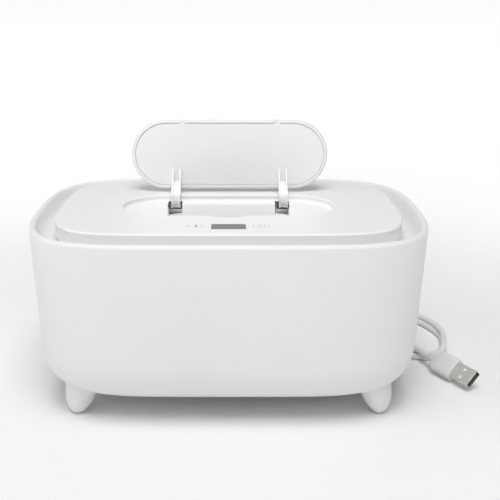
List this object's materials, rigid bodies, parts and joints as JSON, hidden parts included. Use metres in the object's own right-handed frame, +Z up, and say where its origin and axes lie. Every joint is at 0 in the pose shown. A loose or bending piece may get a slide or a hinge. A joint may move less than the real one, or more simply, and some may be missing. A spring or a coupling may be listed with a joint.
{
  "type": "baby wipe warmer",
  "caption": "White tub-shaped wipe warmer on splayed peg feet, with a lift-off lid in a finger moat, a long oval flap open on gooseneck arms, a small display and a coiled USB lead.",
  "frame": {"origin": "centre of the footprint of the housing, flap and feet on the floor", "axes": "+X to the right along the long side, -Y towards the display and the user, +Z up"},
  "size_m": [0.2913, 0.1999, 0.1694],
  "materials": {
    "shell_white": "fine satin",
    "lid_white": "fine satin",
    "inner_white": "satin",
    "foot_white": "satin",
    "display_grey": "smooth",
    "silicone": "matt",
    "steel": "bright",
    "heater_metal": "rolled",
    "heater_film": "smooth",
    "foam": "foam",
    "board_green": "lacquered",
    "dark_plastic": "matt",
    "contact_gold": "plated",
    "cord_white": "matt",
    "plug_white": "satin"
  },
  "bodies": {
    "housing": {"outer_shell": "shell_white", "inner_tank": "inner_white", "base_cover": "inner_white", "foot_front_left": "foot_white", "foot_front_right": "foot_white", "foot_rear_left": "foot_white", "foot_rear_right": "foot_white", "base_screw_1": "steel", "base_screw_2": "steel", "base_screw_3": "steel", "base_screw_4": "steel", "power_board": "board_green", "board_inlet_socket": "plug_white", "insulation_pad": "foam", "heater_plate": "heater_metal", "heating_film": "heater_film", "thermostat": "heater_metal", "contact_block": "inner_white", "contact_stud_1": "contact_gold", "contact_stud_2": "contact_gold", "contact_stud_3": "contact_gold", "contact_stud_4": "contact_gold", "cord_gland": "cord_white", "cord_lead": "cord_white", "cord_coil": "cord_white", "cord_tail": "cord_white", "plug_shell": "steel", "plug_tongue": "plug_white", "plug_body": "plug_white"},
    "lid": {"top_cover": "lid_white", "display_lens": "display_grey", "display_module": "dark_plastic", "touch_board": "board_green", "lid_under_tray": "inner_white", "lid_gasket": "silicone", "lid_screw_1": "steel", "lid_screw_2": "steel", "lid_screw_3": "steel", "lid_screw_4": "steel", "contact_pad": "contact_gold", "hinge_pin_left": "steel", "hinge_pin_right": "steel"},
    "flap": {"flap_panel": "lid_white", "flap_liner": "lid_white", "hinge_arm_left": "lid_white", "hinge_arm_right": "lid_white"}
  },
  "joints": [
    {"name": "lid_lift", "type": "slide", "parent": "housing", "child": "lid", "axis": [0, 0, 1], "range_m": [0, 0.12]},
    {"name": "flap_hinge", "type": "hinge", "parent": "lid", "child": "flap", "pos_m": [0.0007, 0.0284, 0.115], "axis": [1, 0, 0], "range_deg": [0, 98]}
  ]
}
